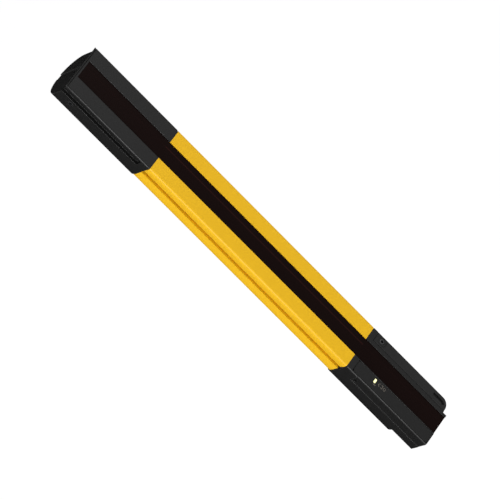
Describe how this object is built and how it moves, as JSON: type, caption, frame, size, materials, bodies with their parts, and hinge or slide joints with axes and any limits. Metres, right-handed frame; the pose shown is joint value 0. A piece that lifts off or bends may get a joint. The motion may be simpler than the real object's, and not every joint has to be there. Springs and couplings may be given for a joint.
{
  "type": "safety light curtain",
  "caption": "Slim bar-type safety light curtain: D-shaped painted housing with side bracket grooves, dark red front window, moulded end caps and a plug socket.",
  "frame": {"origin": "middle of the bounding box's bottom face, at the socket end of the bar", "axes": "+Z along the bar from the socket end to the plain end, -Y out of the window, +X to the right of someone who looks at the window"},
  "size_m": [0.0278, 0.0272, 0.27],
  "materials": {
    "yellow_paint": "satin powder coat",
    "window_plastic": "glossy dark red",
    "cap_plastic": "fine matt grain",
    "panel_foil": "smooth satin",
    "lamp_lens": "clear, lit",
    "seal_rubber": "matt",
    "screw_steel": "blackened",
    "bright_screw": "zinc plated",
    "carrier_plastic": "matt",
    "lens_plastic": "clear moulded",
    "board_laminate": "solder mask",
    "chip_body": "moulded",
    "diode_body": "clear moulded",
    "connector_plastic": "moulded",
    "contact_metal": "gold plated"
  },
  "bodies": {
    "root": {"housing_extrusion": "yellow_paint", "housing_window": "window_plastic", "housing_window_seals": "seal_rubber", "top_cap": "cap_plastic", "top_cap_window": "window_plastic", "top_window_seals": "seal_rubber", "top_cap_gasket": "seal_rubber", "top_cap_screws": "bright_screw", "top_cap_side_screws": "screw_steel", "bottom_cap": "cap_plastic", "bottom_cap_window": "window_plastic", "bottom_window_seals": "seal_rubber", "bottom_cap_gasket": "seal_rubber", "bottom_cap_screws": "bright_screw", "status_panel": "panel_foil", "status_light_pipe": "lamp_lens", "status_lamp": "lamp_lens", "status_board": "board_laminate", "access_cover": "cap_plastic", "access_cover_seal": "seal_rubber", "access_cover_screw": "screw_steel", "setup_board": "board_laminate", "setup_header": "connector_plastic", "optics_carrier": "carrier_plastic", "lens_strip": "lens_plastic", "emitter_board": "board_laminate", "emitter_diodes": "diode_body", "board_link": "connector_plastic", "controller_board": "board_laminate", "controller_chips": "chip_body", "socket_block": "connector_plastic", "socket_contacts": "contact_metal"}
  },
  "joints": []
}
